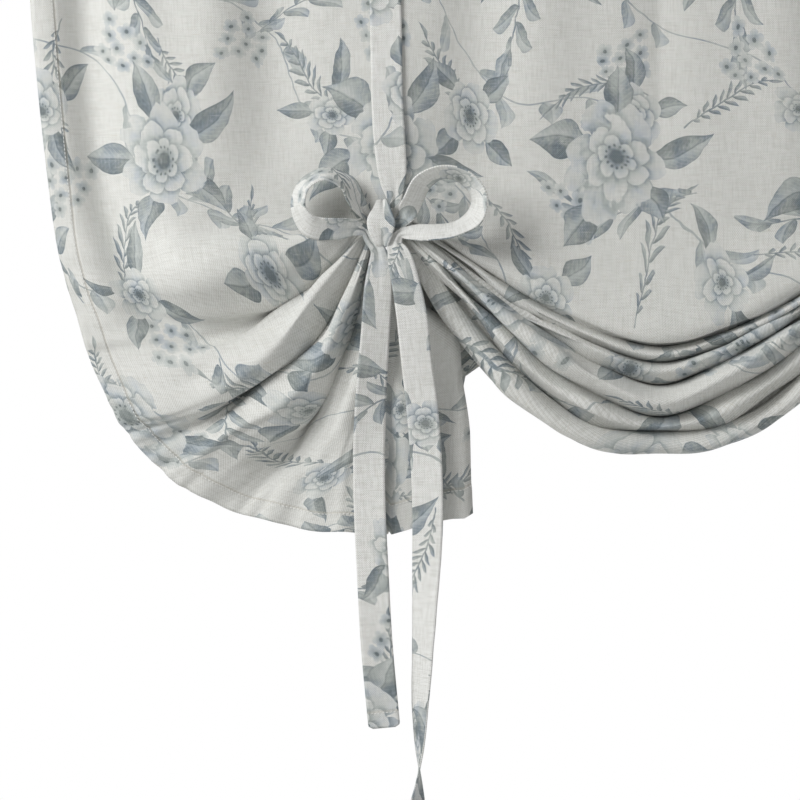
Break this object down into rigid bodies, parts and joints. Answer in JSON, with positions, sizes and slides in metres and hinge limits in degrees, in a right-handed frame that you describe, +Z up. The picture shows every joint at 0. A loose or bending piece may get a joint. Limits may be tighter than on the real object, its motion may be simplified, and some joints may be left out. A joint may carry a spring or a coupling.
{
  "type": "curtain panel",
  "caption": "Tie-up curtain panel with a rod pocket, gathered into a soft swag between bows, with loose outer folds and hanging tails.",
  "frame": {"origin": "the rod's axis at the middle of the rod pocket", "axes": "+X along the rod, +Z up, the front towards -Y"},
  "size_m": [1.14, 0.0896, 1.2508],
  "materials": {
    "cloth": "matt linen-look weave with a soft blue-grey floral print",
    "straps": "the same cloth, doubled and stitched"
  },
  "bodies": {
    "root": {"panel": "cloth", "left_front_strap": "straps", "left_back_strap": "straps", "right_front_strap": "straps", "right_back_strap": "straps"}
  },
  "joints": []
}
